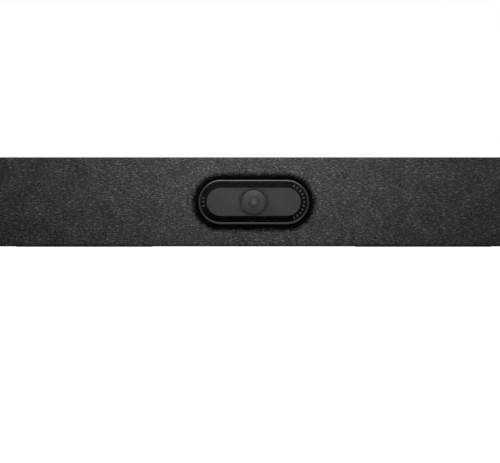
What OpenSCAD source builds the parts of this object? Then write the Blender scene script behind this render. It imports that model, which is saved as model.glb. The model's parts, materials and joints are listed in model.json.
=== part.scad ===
// Conference camera: a fabric-fronted bar with a camera window in its middle.
// The front faces -Y, +X is to the right and +Z is up. The origin lies on the surface
// that the feet stand on, under the middle of the bar.

/* [Body] */
// Overall width of the bar
body_w = 550; // [535:5:700]
// Height of the bar over its fabric
body_h = 78.5; // [77.5:0.5:90]
// Depth of the bar from fabric to back
body_d = 70; // [69:1:90]
// How far the feet stand below the fabric
foot_stand = 0.5; // [0.2:0.1:3]
// Radius of the front edge
front_edge_r = 3; // [2.4:0.1:5]
// Radius of the back edge
back_edge_r = 12; // [6:0.5:14]

/* [Fabric and grille] */
// Thickness of the knitted fabric
fabric_t = 1.2; // [0.8:0.1:1.6]
// How far the fabric reaches back round the sides
fabric_wrap = 19; // [15:0.5:21]
// Radius with which the fabric rolls in round the camera window
fabric_roll_r = 6.2; // [5.5:0.1:8]
// Wall of the moulded grille behind the fabric
grille_t = 2.2; // [1.6:0.1:2.6]
// Width of a grille slot
slot_w = 2.4; // [1.6:0.1:3]
// Distance from one grille slot to the next
slot_pitch = 4.4; // [3.6:0.1:6]

/* [Camera window] */
// Width of the window's bezel ring
ring_span = 97.2; // [92:0.5:110]
// Height of the window's bezel ring
ring_h = 39.1; // [38:0.1:42]
// Wall of the bezel ring
ring_wall = 1.5; // [1:0.1:2]
// How far the bezel ring stands behind the fabric's front
ring_recess = 0.6; // [0:0.1:1.5]
// Thickness of the smoked window
window_t = 2; // [1.5:0.1:2.4]
// Height of the clear field in the window
field_h = 24.8; // [22:0.2:27]
// Depth of the tray behind the window
tray_depth = 2; // [1.2:0.1:2.4]

/* [Lens] */
// Diameter of the hole in front of the lens
lens_hole_d = 25.7; // [24.6:0.1:26]
// Diameter of the lens's front element
dome_d = 23.3; // [20:0.1:23.5]
// How far the front element bulges
dome_sag = 3.1; // [2:0.1:4]
// Diameter of the second element
element_d = 11.4; // [9:0.1:12]
// Length of the lens barrel
barrel_l = 10; // [9:0.5:12]

/* [Privacy shutter] */
// Width of the shutter blade
blade_w = 27.2; // [26.8:0.1:28]
// Thickness of the shutter blade
blade_t = 0.6; // [0.4:0.1:0.8]
// Module of the rack and the pinion
gear_module = 0.8; // [0.7:0.05:0.8]
// Teeth of the pinion
pinion_teeth = 12; // [10:1:12]
// Diameter of the shutter motor
motor_d = 9.8; // [8:0.1:10]

/* [Speakers] */
// Distance of the inner screw wells from the middle of the bar
well_x = 96; // [96:1:110]
// Outer diameter of a speaker's flange
speaker_d = 64; // [62:0.5:64]
// Outer diameter of a speaker's cone
cone_d = 48.4; // [44:0.2:49]
// Width of a speaker's box
speaker_box_w = 92; // [84:1:110]

/* [Electronics] */
// Width of the chassis plate
chassis_w = 180; // [176:1:181]
// Thickness of the chassis plate
chassis_t = 1.5; // [1:0.1:2]
// Width of the main board
board_w = 176; // [174:1:178]
// Thickness of the circuit boards
board_t = 1.6; // [1:0.1:2]
// Space between the heat sink and the back wall
sink_gap = 11; // [10:1:18]

/* [Cable bay] */
// Inner width of the cable bay
bay_w = 116; // [112:1:118]
// Height of the bay's ceiling above the middle of the bar
bay_top = 6; // [2:0.5:7]
// Thickness of the cable cover
cover_t = 2; // [1.5:0.1:2.4]

/* [Mounts] */
// Distance between the rear mounting holes, across
mount_span_x = 150; // [146:1:154]
// Distance between the rear mounting holes, up
mount_span_z = 36; // [24:1:40]
// Bore of a rear mounting insert
mount_bore_d = 3.3; // [2.5:0.1:4]
// Bore of the tripod insert
tripod_bore_d = 5.1; // [4:0.1:5.6]
// Length of a foot
foot_l = 120; // [60:5:130]

/* [Hidden] */
$fn = 64;

// Overrun of every cut
over = 1;
// Clearance between fixed pieces that fit together
fit_gap = 0.1;
// Clearance between pieces that slide past each other
slide_gap = 0.3;

// Bar: the middle line of the round ends, the front and the back
end_r = body_h / 2;
run_w = body_w - body_h;
axis_z = foot_stand + end_r;
front_y = -body_d / 2;
back_y = body_d / 2;
fabric_end = front_y + fabric_wrap;

// Grille, inside the fabric
grille_r = end_r - fabric_t - fit_gap;
grille_front = front_y + fabric_t + fit_gap;
grille_back = grille_front + grille_t;
grille_edge_r = front_edge_r - fabric_t - fit_gap;
grille_inner_edge_r = 1;
grille_end = fabric_end;

// Window stack, from the front to the back
ring_r = ring_h / 2;
window_run = ring_span - ring_h;
ring_edge_r = 0.5;
ring_front = front_y + ring_recess;
flange_w = 3.7;
flange_t = 1;
window_gap = 0.05;
window_recess = 0.5;
window_edge_r = 0.6;
window_r = ring_r - ring_wall - window_gap;
window_front = ring_front + window_recess;
mask_front = window_front + window_t;
mask_t = 0.4;
tray_front = mask_front + mask_t;
tray_floor = tray_front + tray_depth;
tray_t = 1;
tray_back = tray_floor + tray_t;
tray_wall_r = 0.8;
tray_fillet_r = 1.1;

// Fabric's roll into the recess round the ring
lip_gap = 0.25;
roll_r0 = ring_r + lip_gap + fabric_roll_r;
roll_y0 = front_y + fabric_roll_r;
flange_back = max(roll_y0 + fit_gap + flange_t, tray_back + fit_gap);
lip_end = flange_back - flange_t - fit_gap;

// Shutter: the blade runs between the frame's plate and its rear hooks
frame_plate_t = 1;
frame_front = flange_back + fit_gap;
frame_back = frame_front + frame_plate_t;
frame_w = 108;
frame_h = 56;
frame_corner_r = 4;
blade_front = frame_back + slide_gap;
blade_back = blade_front + blade_t;
blade_top = 13.6;
blade_bottom = -19.2;
blade_corner_r = 3;
shutter_travel = blade_w;
hook_t = 0.8;
hook_front = blade_back + slide_gap;
hook_back = hook_front + hook_t;
hook_lap = 0.7;
rail_wall = 1.2;
rack_t = 1.5;
rack_top = -13.8;
rack_bar_h = 1.4;
rack_back = blade_back + rack_t;
rack_overhang = 2.4;
rack_l = blade_w + 2 * rack_overhang;
tooth_pitch = PI * gear_module;
tooth_tip_w = 0.5;
tooth_root_w = 1.5;
addendum = gear_module;
dedendum = 1.25 * gear_module;
rack_root = rack_top - rack_bar_h;
rack_pitch_z = rack_root - dedendum;
pinion_r = gear_module * pinion_teeth / 2;
pinion_x = shutter_travel / 2;
pinion_z = rack_pitch_z - pinion_r;
pinion_front = blade_back + slide_gap;
pinion_t = rack_t - slide_gap;
pinion_back = pinion_front + pinion_t;
pinion_shaft_r = 1;
shaft_gap = 0.05;
rail_x0 = -rack_l / 2 - slide_gap;
rail_x1 = shutter_travel + rack_l / 2 + slide_gap;
motor_front = pinion_back + slide_gap;
motor_l = 13;
motor_bore_l = 3;
saddle_w = 15.4;
saddle_wall = 1.4;
saddle_d = 4;
saddle_h = 7;

// Lens, behind the blade
dome_r = dome_d / 2;
dome_apex_gap = 0.5;
dome_apex = blade_back + dome_apex_gap;
dome_sphere_r = (dome_r * dome_r + dome_sag * dome_sag) / (2 * dome_sag);
dome_rim_t = 1.6;
dome_back = dome_apex + dome_sag + dome_rim_t;
hollow_sphere_r = 14;
hollow_sag = 3;
retainer_front = rack_back + slide_gap;
retainer_wall = 1.5;
retainer_d = 5.4;
retainer_r = dome_r + fit_gap + retainer_wall;
barrel_front = dome_back;
barrel_back = barrel_front + barrel_l;
barrel_head_l = 3.4;
barrel_body_r = 9.6;
cavity_r = 10.3;
cavity_l = 2.4;
element_r = element_d / 2;
element_t = 2.2;
second_bore_r = 4.4;
second_bore_l = 2.6;
rear_element_t = 1.8;

// Camera module behind the lens
filter_gap = 0.3;
filter_t = 0.4;
filter_w = 9;
sensor_gap = 0.3;
sensor_t = 1.5;
sensor_w = 10;
sensor_h = 8;
filter_front = barrel_back + filter_gap;
sensor_front = filter_front + filter_t + sensor_gap;
sensor_board_front = sensor_front + sensor_t;
sensor_board_w = 38;
sensor_board_h = 32;
sensor_board_t = 1.2;
sensor_board_back = sensor_board_front + sensor_board_t;
holder_w = 24;
holder_base_t = 3.4;
holder_wall = 1.6;
holder_sleeve_l = 4.2;
holder_lip = 0.8;
bracket_pad_t = 0.8;
bracket_t = 1.2;
bracket_front = sensor_board_back + bracket_pad_t;
bracket_back = bracket_front + bracket_t;
bracket_post_r = 3;
post_inset = 6;
post_x = frame_w / 2 - post_inset;
post_z = frame_h / 2 - post_inset;

// Chassis and boards behind the camera
chassis_front = bracket_back;
chassis_back = chassis_front + chassis_t;
chassis_top = 31;
chassis_bottom = -26;
chassis_corner_r = 4;
chassis_screw_x = 76;
chassis_screw_top = 27;
chassis_screw_bottom = -22;
standoff_h = 3.3;
standoff_r = 2.6;
board_front = chassis_back + standoff_h;
board_back = board_front + board_t;
board_top = 31;
board_bottom = -25;
board_screw_x = 84;
board_screw_top = 27;
board_screw_bottom = -21;
board_edge_gap = 0.3;
flex_w = 12;
flex_t = 0.3;
flex_rise = 4;
flex_run = 4;
flex_slot_h = 5;
flex_slot_w = 16;
wing_x = 75;
shield_w = 16;
shield_h = 20;
shield_t = 2.2;
shield_z = 3;
pad_t = 0.8;
sink_w = 24;
sink_top = 24;
sink_bottom = -18;
sink_base_t = 2;
sink_front = board_back + shield_t + pad_t;
sink_leg_r = 1.5;
sink_leg_inset = 2.5;
fin_t = 1.2;
fin_pitch = 3.7;

// Small parts on the board: the left wing's x, z, width, height and rise
coil_w = 8;
coil_rise = 4;
coil_x = -78;
coil_places = [12, 1];
radio_w = 15;
radio_h = 12;
radio_rise = 2;
radio_x = -72;
radio_z = -14;
can_r = 3;
can_rise = 7;
can_x = -67;
can_places = [4, 13];

// Cable bay and its sockets
bay_wall = 2;
bay_side_wall = 4;
bay_ledge = 2;
cover_gap = 0.3;
bay_front = board_front;
bay_half = bay_w / 2;
bay_outer = bay_half + bay_side_wall;
cover_half = bay_half + bay_ledge - cover_gap;
prong_w = 8;
prong_t = 1.5;
prong_l = 8;
prong_share = 0.6;
cover_tuck = 2;
cover_bottom_y = back_y - back_edge_r - cover_tuck;
cover_notch_r = 7;
socket_wall = 0.6;
socket_gap = 0.2;
hdmi_w = 15;
hdmi_h = 6;
hdmi_l = 12;
hdmi_x = [-10.5, 6];
usb_a_w = 14;
usb_a_h = 6.6;
usb_a_l = 14;
usb_a_x = 22;
usb_c_w = 9.2;
usb_c_h = 3.4;
usb_c_l = 9;
usb_c_x = 36;
usb_c_corner_r = 1.5;
ethernet_w = 16;
ethernet_h = 13;
ethernet_l = 16;
ethernet_x = -27.5;
ethernet_port_w = 11.8;
ethernet_port_h = 8.2;
ethernet_port_l = 12;
inlet_w = 10;
inlet_h = 11;
inlet_l = 13;
inlet_x = -50;
inlet_port_r = 3.2;
inlet_port_l = 10;
inlet_pin_r = 1;
tongue_t = 1.2;
tongue_side = 1.6;
port_floor_t = 2;

// Buttons in the bay's ceiling
button_r = 2.4;
button_travel = 0.8;
button_proud = 1.2;
button_setback = 4;
button_y = board_back + button_setback;
button_collar_r = 3.4;
button_collar_t = 0.8;
button_stem_r = 1.2;
button_stem_l = 2;
button_places = [-40.3, 47];
switch_w = 6;
switch_h = 4;
switch_gap = 0.3;

// Microphones, beside the camera
mic_board_w = 52;
mic_board_h = 8;
mic_board_t = 1;
mic_x = 86;
mic_pitch = 12;
mic_count = 4;
mic_hole_r = 0.8;
mic_gasket_r = 2.6;
mic_gasket_t = 1.2;
mic_w = 3.8;
mic_h = 3;
mic_t = 1.1;

// Speakers, beside the inner screw wells, from the grille back
well_r = 5;
box_side_gap = 3;
speaker_x = well_x + well_r + box_side_gap + speaker_box_w / 2;
gasket_t = 3;
gasket_w = 2.6;
surround_t = 0.5;
roll_t = 0.5;
speaker_r = speaker_d / 2;
cone_r = cone_d / 2;
surround_r0 = cone_r + slide_gap;
surround_seat_r = speaker_r - gasket_w;
surround_roll_r = (surround_seat_r - surround_r0) / 2;
surround_front = grille_back + gasket_t;
speaker_front = surround_front + surround_t;
basket_flange_t = 2;
basket_mouth_r = 26.4;
basket_wall = 1.5;
basket_neck_r = 18;
basket_neck_y = 10;
spider_t = 0.6;
spider_ridge = 0.6;
ledge_t = 1.2;
basket_back_y = 17;
basket_back_t = 2;
gap_outer_r = 10.6;
gap_inner_r = 9;
magnet_r = 17;
magnet_t = 9;
yoke_t = 3;
yoke_vent_r = 3;
cone_t = 0.6;
cone_depth = 9;
former_r = 9.9;
former_t = 0.4;
former_l = 11;
cap_sag = 2.4;
cone_travel = 2;
spider_y = cone_depth + cone_t + cone_travel + slide_gap;
window_count = 4;
window_cut_w = 15;
box_wall = 2.5;
box_corner_r = 6;
box_setback = 3;
box_front = speaker_front + basket_flange_t;
box_back = back_y - back_edge_r - box_setback;
box_clear = 0.6;
field_r = 25;
field_bar = 3;
speaker_screw_r = 34.5;
ear_r = 5;
antenna_w = 36;
antenna_h = 12;
antenna_t = 0.8;

// Rear housing
housing_inset = 0.8;
housing_r = end_r - housing_inset;
housing_wall = 2.4;
housing_inner_r = housing_r - housing_wall;
housing_front = fabric_end + slide_gap;
back_inner = back_y - housing_wall;
tongue_ring_t = 2;
tongue_ring_l = 4;
tongue_root = 3;
tongue_r = grille_r - grille_t - fit_gap;
box_half_h = tongue_r - tongue_ring_t - box_clear;
vent_w = 3;
vent_l = 13;
vent_pitch = 6;
vent_y0 = 5;
vent_reach = 86;
vents = floor(vent_reach / vent_pitch);
bottom_vents = 4;
rest_r = 4;
rest_x_share = 0.333;
lock_slot_w = 7;
lock_slot_h = 3;
lock_slot_x = 118;
lock_slot_z = 16;

// Screw wells: deep tubes in the housing that meet the grille's bosses
well_bore_r = 3.4;
well_floor_t = 3;
boss_r = 4;
pilot_r = 1.25;
screw_hole_r = 1.6;
screw_r = 1.2;
screw_head_r = 2.8;
screw_head_t = 1.8;
screw_l = 8;
small_screw_l = 4;
small_screw_r = 0.9;
small_head_r = 1.8;
small_head_t = 1.1;
socket_recess_r = 1.1;
socket_recess_d = 0.7;
well_z = 20;
end_well_offset = 14;
well_places = [
    [-well_x, well_z], [well_x, well_z], [-well_x, -well_z], [well_x, -well_z],
    [-run_w / 2 - end_well_offset, 0], [run_w / 2 + end_well_offset, 0]
];
well_setback = 2;
well_front = housing_front + well_setback;
boss_end = well_front - fit_gap;
chassis_places = [
    for (side = [-1, 1], z = [chassis_screw_top, chassis_screw_bottom])
        [side * chassis_screw_x, z]
];
board_places = [
    for (side = [-1, 1], z = [board_screw_top, board_screw_bottom])
        [side * board_screw_x, z]
];
post_places = [for (sx = [-1, 1], sz = [-1, 1]) [sx * post_x, sz * post_z]];

// Mounts
insert_r = 2.9;
insert_l = 8;
insert_boss_r = 5;
insert_boss_l = 9;
mount_places = [
    for (sx = [-1, 1], sz = [-1, 1]) [sx * mount_span_x / 2, sz * mount_span_z / 2]
];
tripod_r = 4.4;
tripod_l = 8;
tripod_boss_r = 6.2;
tripod_setback = 7;
tripod_y = fabric_end + tripod_setback;
tripod_floor_t = 1.4;

// Feet, on the flat stretch of the housing's underside
foot_front_gap = 2;
foot_back_gap = 5;
foot_front = fabric_end + foot_front_gap;
foot_w = back_y - back_edge_r - foot_back_gap - foot_front;
foot_y = foot_front + foot_w / 2;
foot_corner_r = 5;
foot_seat = 1;
foot_x = 150;

charcoal = "#3c3c3e";
black = "#161618";
dark_plastic = "#232426";
steel = "#b4b6ba";
board_green = "#1d4a35";

// Moves a piece up to the middle line of the bar
module at_axis() translate([0, 0, axis_z]) children();

// Box between its low and its high corner
module block(low, high) translate(low) cube(high - low);

// Round bar along Y
module rod(x, z, r, y0, y1) translate([x, y0, z]) rotate([-90, 0, 0]) cylinder(h = y1 - y0, r = r);

// Plate across X and Z, from one depth to another
module plate(y0, y1) translate([0, y1, 0]) rotate([90, 0, 0]) linear_extrude(y1 - y0) children();

// Piece turned about an axis along Y: radius against depth
module turned(x, z) translate([x, 0, z]) rotate([-90, 0, 0]) rotate_extrude() children();

// Ring section between two radii and two depths
module band(r0, r1, y0, y1) translate([r0, y0]) square([r1 - r0, y1 - y0]);

module round_rect(w, h, r) {
    square([w - 2 * r, h], center = true);
    square([w, h - 2 * r], center = true);
    for (sx = [-1, 1], sz = [-1, 1])
        translate([sx * (w / 2 - r), sz * (h / 2 - r)]) circle(r);
}

// Flat pill: a straight run with round ends
module pill(run, r) {
    square([run, 2 * r], center = true);
    for (side = [-1, 1]) translate([side * run / 2, 0]) circle(r);
}

// Carries a section, radius against depth, once round a pill
module pill_sweep(run) {
    translate([run / 2, 0, 0]) rotate([-90, 0, 0]) rotate_extrude(angle = 180, start = -90) children();
    translate([-run / 2, 0, 0]) rotate([-90, 0, 0]) rotate_extrude(angle = 180, start = 90) children();
    rotate([0, 90, 0]) linear_extrude(run, center = true) {
        children();
        mirror([1, 0]) children();
    }
}

// Half section of a shell whose front edge is round
module front_section(r, edge, y0, y1) {
    band(0, r - edge, y0, y1);
    band(0, r, y0 + edge, y1);
    translate([r - edge, y0 + edge]) circle(edge);
}

// Half section of a shell whose back edge is round
module back_section(r, edge, y0, y1) mirror([0, 1]) front_section(r, edge, -y1, -y0);

// Quarter roll from the front into the recess, and its straight lip
module roll_section(r, t) translate([roll_r0, roll_y0]) {
    intersection() {
        difference() {
            circle(r);
            circle(r - t);
        }
        translate([-r, -r]) square(r);
    }
    translate([-r, -fit_gap]) square([t, lip_end - roll_y0 + fit_gap]);
}

module fabric_cover() color(charcoal) at_axis() {
    difference() {
        pill_sweep(run_w) difference() {
            front_section(end_r, front_edge_r, front_y, fabric_end);
            front_section(end_r - fabric_t, front_edge_r - fabric_t, front_y + fabric_t, fabric_end + over);
        }
        plate(front_y - over, front_y + fabric_t + over) pill(window_run, roll_r0);
    }
    pill_sweep(window_run) roll_section(fabric_roll_r, fabric_t);
}

// Slots that fill a round field, cut by a bar across its middle
module slot_field() {
    steps = floor((field_r - slot_w) / slot_pitch);
    for (i = [-steps:steps]) {
        x = i * slot_pitch;
        reach = sqrt(field_r * field_r - x * x);
        for (side = [-1, 1])
            translate([x, side * (reach + field_bar / 2) / 2]) rotate(90)
                pill(reach - field_bar / 2 - slot_w, slot_w / 2);
    }
}

module mic_spots() for (side = [-1, 1], i = [0:mic_count - 1])
    translate([side * mic_x + (i - (mic_count - 1) / 2) * mic_pitch, 0]) children();

module front_grille() color(dark_plastic) at_axis() {
    difference() {
        union() {
            difference() {
                pill_sweep(run_w) difference() {
                    front_section(grille_r, grille_edge_r, grille_front, grille_end);
                    front_section(grille_r - grille_t, grille_inner_edge_r, grille_back, grille_end + over);
                }
                plate(grille_front - over, grille_back + over) pill(window_run, roll_r0);
            }
            pill_sweep(window_run) roll_section(fabric_roll_r - fabric_t - fit_gap, grille_t);
            for (p = well_places) rod(p.x, p.y, boss_r, grille_back - grille_t / 2, boss_end);
            for (p = chassis_places) rod(p.x, p.y, boss_r, grille_back - grille_t / 2, chassis_front);
        }
        for (p = well_places) rod(p.x, p.y, pilot_r, grille_back + over, boss_end + over);
        for (p = chassis_places) rod(p.x, p.y, pilot_r, grille_back + over, chassis_front + over);
        plate(grille_front - over, grille_back + over) {
            for (side = [-1, 1]) translate([side * speaker_x, 0]) slot_field();
            mic_spots() circle(mic_hole_r);
        }
    }
}

module bezel_ring() color(black) at_axis() pill_sweep(window_run) {
    band(ring_r - ring_wall, ring_r, ring_front + ring_edge_r, flange_back);
    band(ring_r - ring_wall + ring_edge_r, ring_r - ring_edge_r, ring_front, flange_back);
    for (r = [ring_r - ring_wall + ring_edge_r, ring_r - ring_edge_r])
        translate([r, ring_front + ring_edge_r]) circle(ring_edge_r);
    band(ring_r - ring_wall, ring_r + flange_w, flange_back - flange_t, flange_back);
}

module camera_window() color(black, 0.6) at_axis() pill_sweep(window_run)
    front_section(window_r, window_edge_r, window_front, mask_front);

module window_mask() color(black) at_axis() pill_sweep(window_run)
    band(field_h / 2, window_r, mask_front, tray_front);

module lens_surround() color("#46454a") at_axis() difference() {
    pill_sweep(window_run) difference() {
        band(0, window_r, tray_front, tray_back);
        back_section(field_h / 2 + tray_wall_r, tray_fillet_r, tray_front - over, tray_floor);
    }
    rod(0, 0, lens_hole_d / 2, tray_floor - tray_depth - over, tray_back + over);
}

module shutter_frame() color(dark_plastic) at_axis() {
    difference() {
        union() {
            plate(frame_front, frame_back) round_rect(frame_w, frame_h, frame_corner_r);
            // Rail above the blade
            block([rail_x0, frame_back, blade_top + slide_gap],
                [rail_x1, hook_back, blade_top + slide_gap + rail_wall]);
            block([rail_x0, hook_front, blade_top - hook_lap],
                [rail_x1, hook_back, blade_top + slide_gap + rail_wall]);
            // Rail below the blade
            block([rail_x0, frame_back, blade_bottom - slide_gap - rail_wall],
                [rail_x1, hook_back, blade_bottom - slide_gap]);
            block([rail_x0, hook_front, blade_bottom - slide_gap - rail_wall],
                [rail_x1, hook_back, blade_bottom + hook_lap]);
            // End stops
            for (x = [rail_x0 - rail_wall, rail_x1])
                block([x, frame_back, blade_bottom - slide_gap - rail_wall],
                    [x + rail_wall, hook_back, blade_top + slide_gap + rail_wall]);
        }
        rod(0, 0, lens_hole_d / 2 + slide_gap, frame_front - over, frame_back + over);
        rod(pinion_x, pinion_z, pinion_r + addendum + slide_gap, blade_back, hook_back + over);
        for (p = post_places) rod(p.x, p.y, screw_hole_r, frame_front - over, frame_back + over);
    }
    // Saddle that carries the motor
    difference() {
        union() {
            for (side = [-1, 1])
                block([pinion_x + side * (saddle_w - saddle_wall) / 2 - saddle_wall / 2, frame_back,
                        pinion_z - saddle_h / 2],
                    [pinion_x + side * (saddle_w - saddle_wall) / 2 + saddle_wall / 2,
                        motor_front + saddle_d, blade_bottom - slide_gap]);
            block([pinion_x - saddle_w / 2, motor_front, pinion_z - saddle_h / 2],
                [pinion_x + saddle_w / 2, motor_front + saddle_d, pinion_z + saddle_h / 2]);
        }
        rod(pinion_x, pinion_z, motor_d / 2 + fit_gap, motor_front - over, motor_front + saddle_d + over);
    }
}

module shutter_blade() color(black) at_axis() translate([shutter_travel, 0, 0]) {
    plate(blade_front, blade_back) translate([0, (blade_top + blade_bottom) / 2])
        round_rect(blade_w, blade_top - blade_bottom, blade_corner_r);
    block([-rack_l / 2, blade_back, rack_root], [rack_l / 2, rack_back, rack_top]);
    teeth = floor((rack_l - tooth_root_w) / tooth_pitch / 2);
    plate(blade_back, rack_back) for (i = [-teeth:teeth]) translate([i * tooth_pitch, 0])
        polygon([
            [-tooth_root_w / 2, rack_root + fit_gap], [-tooth_root_w / 2, rack_root],
            [-tooth_tip_w / 2, rack_pitch_z - addendum], [tooth_tip_w / 2, rack_pitch_z - addendum],
            [tooth_root_w / 2, rack_root], [tooth_root_w / 2, rack_root + fit_gap]
        ]);
}

// The pinion's gap that faces the rack's tooth nearest to it
rack_phase = (shutter_travel - pinion_x) % tooth_pitch;
pinion_turn = rack_phase / pinion_r * 180 / PI;

module pinion_outline() {
    root_r = pinion_r - dedendum;
    tip_r = pinion_r + addendum;
    circle(root_r);
    for (i = [0:pinion_teeth - 1]) rotate((i + 0.5) * 360 / pinion_teeth - pinion_turn)
        polygon([
            [-tooth_root_w / 2, root_r - fit_gap], [-tooth_root_w / 2, root_r],
            [-tooth_tip_w / 2, tip_r], [tooth_tip_w / 2, tip_r],
            [tooth_root_w / 2, root_r], [tooth_root_w / 2, root_r - fit_gap]
        ]);
}

module shutter_pinion() color("#d8d4c8") at_axis() {
    plate(pinion_front, pinion_back) translate([pinion_x, pinion_z]) pinion_outline();
    rod(pinion_x, pinion_z, pinion_shaft_r, pinion_front, motor_front + motor_bore_l - slide_gap);
}

module shutter_motor() color(steel) at_axis() difference() {
    rod(pinion_x, pinion_z, motor_d / 2, motor_front, motor_front + motor_l);
    rod(pinion_x, pinion_z, pinion_shaft_r + shaft_gap, motor_front - over, motor_front + motor_bore_l);
}

module lens_dome() color("#4a4d58", 0.8) at_axis() turned(0, 0) difference() {
    intersection() {
        translate([0, dome_apex + dome_sphere_r]) circle(dome_sphere_r);
        band(0, dome_r, dome_apex, dome_back);
    }
    translate([0, dome_back - hollow_sag + hollow_sphere_r]) circle(hollow_sphere_r);
}

module lens_retainer() color(black) at_axis() turned(0, 0)
    band(dome_r + fit_gap, retainer_r, retainer_front, retainer_front + retainer_d);

module lens_barrel() color(black) at_axis() turned(0, 0) difference() {
    union() {
        band(0, dome_r, barrel_front, barrel_front + barrel_head_l);
        band(0, barrel_body_r, barrel_front, barrel_back);
    }
    polygon([
        [0, barrel_front - over], [cavity_r, barrel_front - over], [cavity_r, barrel_front],
        [element_r + fit_gap, barrel_front + cavity_l], [0, barrel_front + cavity_l]
    ]);
    band(0, element_r + fit_gap, barrel_front, barrel_front + cavity_l + element_t);
    band(0, second_bore_r + fit_gap, barrel_front, barrel_back + over);
}

module lens_elements() color("#5a5f6c", 0.8) at_axis() {
    front = barrel_front + cavity_l;
    turned(0, 0) band(0, element_r, front, front + element_t);
    middle = front + element_t + second_bore_l;
    turned(0, 0) band(0, second_bore_r, middle, middle + rear_element_t);
}

module lens_holder() color(black) at_axis() difference() {
    union() {
        plate(sensor_board_front - holder_base_t, sensor_board_front)
            round_rect(holder_w, holder_w, holder_wall);
        rod(0, 0, barrel_body_r + fit_gap + holder_wall,
            sensor_board_front - holder_base_t - holder_sleeve_l, sensor_board_front);
    }
    rod(0, 0, barrel_body_r + fit_gap,
        sensor_board_front - holder_base_t - holder_sleeve_l - over, barrel_back + fit_gap);
    plate(barrel_back, sensor_board_front + over)
        square([filter_w + 2 * holder_lip, filter_w + 2 * holder_lip], center = true);
}

module ir_filter() color("#6fb0a8", 0.6) at_axis()
    plate(filter_front, filter_front + filter_t) square([filter_w, filter_w], center = true);

module image_sensor() color("#2b2f3a") at_axis()
    plate(sensor_front, sensor_board_front) square([sensor_w, sensor_h], center = true);

module sensor_board() color(board_green) at_axis()
    plate(sensor_board_front, sensor_board_back) round_rect(sensor_board_w, sensor_board_h, standoff_r);

module camera_bracket() color(steel) at_axis() difference() {
    union() {
        plate(bracket_front, bracket_back) round_rect(frame_w, frame_h, frame_corner_r);
        for (p = post_places) rod(p.x, p.y, bracket_post_r, frame_back, bracket_back);
        for (sx = [-1, 1], sz = [-1, 1])
            rod(sx * (sensor_board_w / 2 - standoff_r), sz * (sensor_board_h / 2 - standoff_r),
                standoff_r, sensor_board_back, bracket_back);
    }
    for (p = post_places) rod(p.x, p.y, pilot_r, frame_back - over, bracket_back + over);
    plate(bracket_front - over, bracket_back + over) translate([0, sensor_board_h / 2 + flex_rise])
        round_rect(flex_slot_w, flex_slot_h, flex_slot_h / 4);
}

// Ribbon from the front of the sensor board over its top edge to the main board
module camera_flex_cable() color("#b9772e") at_axis() {
    top = sensor_board_h / 2 + flex_rise;
    translate([-flex_w / 2, 0, 0]) {
        block([0, sensor_board_front - flex_t, sensor_board_h / 2 - flex_run],
            [flex_w, sensor_board_front, top + flex_t]);
        block([0, sensor_board_front - flex_t, top], [flex_w, board_front, top + flex_t]);
        block([0, board_front - flex_t, top], [flex_w, board_front, top + flex_t + flex_run]);
    }
}

// Cap screw along Y whose head ends at the back
module screw(x, z, r, length, head_r, head_t, head_y) difference() {
    union() {
        rod(x, z, r, head_y - length, head_y);
        rod(x, z, head_r, head_y, head_y + head_t);
    }
    rod(x, z, socket_recess_r, head_y + head_t - socket_recess_d, head_y + head_t + over);
}

module chassis_screws() color(steel) at_axis() for (p = chassis_places)
    screw(p.x, p.y, screw_r, screw_l, screw_head_r, screw_head_t, chassis_back);

// Equal screws of the camera bracket and of the main board
module board_screws() color(steel) at_axis() {
    for (p = post_places)
        screw(p.x, p.y, small_screw_r, small_screw_l, small_head_r, small_head_t, chassis_back);
    for (p = board_places)
        screw(p.x, p.y, small_screw_r, small_screw_l, small_head_r, small_head_t, board_back);
}

module chassis_plate() color("#a9adb2") at_axis() difference() {
    union() {
        plate(chassis_front, chassis_back) translate([0, (chassis_top + chassis_bottom) / 2])
            round_rect(chassis_w, chassis_top - chassis_bottom, chassis_corner_r);
        for (p = board_places) rod(p.x, p.y, standoff_r, chassis_front, board_front);
    }
    for (p = board_places) rod(p.x, p.y, pilot_r, chassis_front - over, board_front + over);
    for (p = chassis_places) rod(p.x, p.y, screw_hole_r, chassis_front - over, chassis_back + over);
    for (p = post_places) rod(p.x, p.y, screw_hole_r, chassis_front - over, chassis_back + over);
    plate(chassis_front - over, chassis_back + over) translate([0, sensor_board_h / 2 + flex_rise])
        round_rect(flex_slot_w, flex_slot_h, flex_slot_h / 4);
}

module main_board() color(board_green) at_axis() difference() {
    plate(board_front, board_back) difference() {
        translate([0, (board_top + board_bottom) / 2])
            round_rect(board_w, board_top - board_bottom, standoff_r);
        notch_half = bay_outer + board_edge_gap;
        notch_top = bay_top + bay_wall + board_edge_gap;
        translate([-notch_half, board_bottom - over])
            square([2 * notch_half, notch_top - board_bottom + over]);
    }
    for (p = board_places) rod(p.x, p.y, screw_hole_r, board_front - over, board_back + over);
}

module board_components() color("#1c1c1c") at_axis() {
    for (z = coil_places) translate([coil_x, 0, z])
        block([-coil_w / 2, board_back, -coil_w / 2], [coil_w / 2, board_back + coil_rise, coil_w / 2]);
    translate([radio_x, 0, radio_z])
        block([-radio_w / 2, board_back, -radio_h / 2], [radio_w / 2, board_back + radio_rise, radio_h / 2]);
    for (z = can_places) rod(can_x, z, can_r, board_back, board_back + can_rise);
}

module processor_shield() color(steel) at_axis() translate([wing_x, 0, shield_z])
    plate(board_back, board_back + shield_t) square([shield_w, shield_h], center = true);

module thermal_pad() color("#7d8fb3") at_axis() translate([wing_x, 0, shield_z])
    plate(board_back + shield_t, sink_front) square([shield_w, shield_h], center = true);

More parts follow.
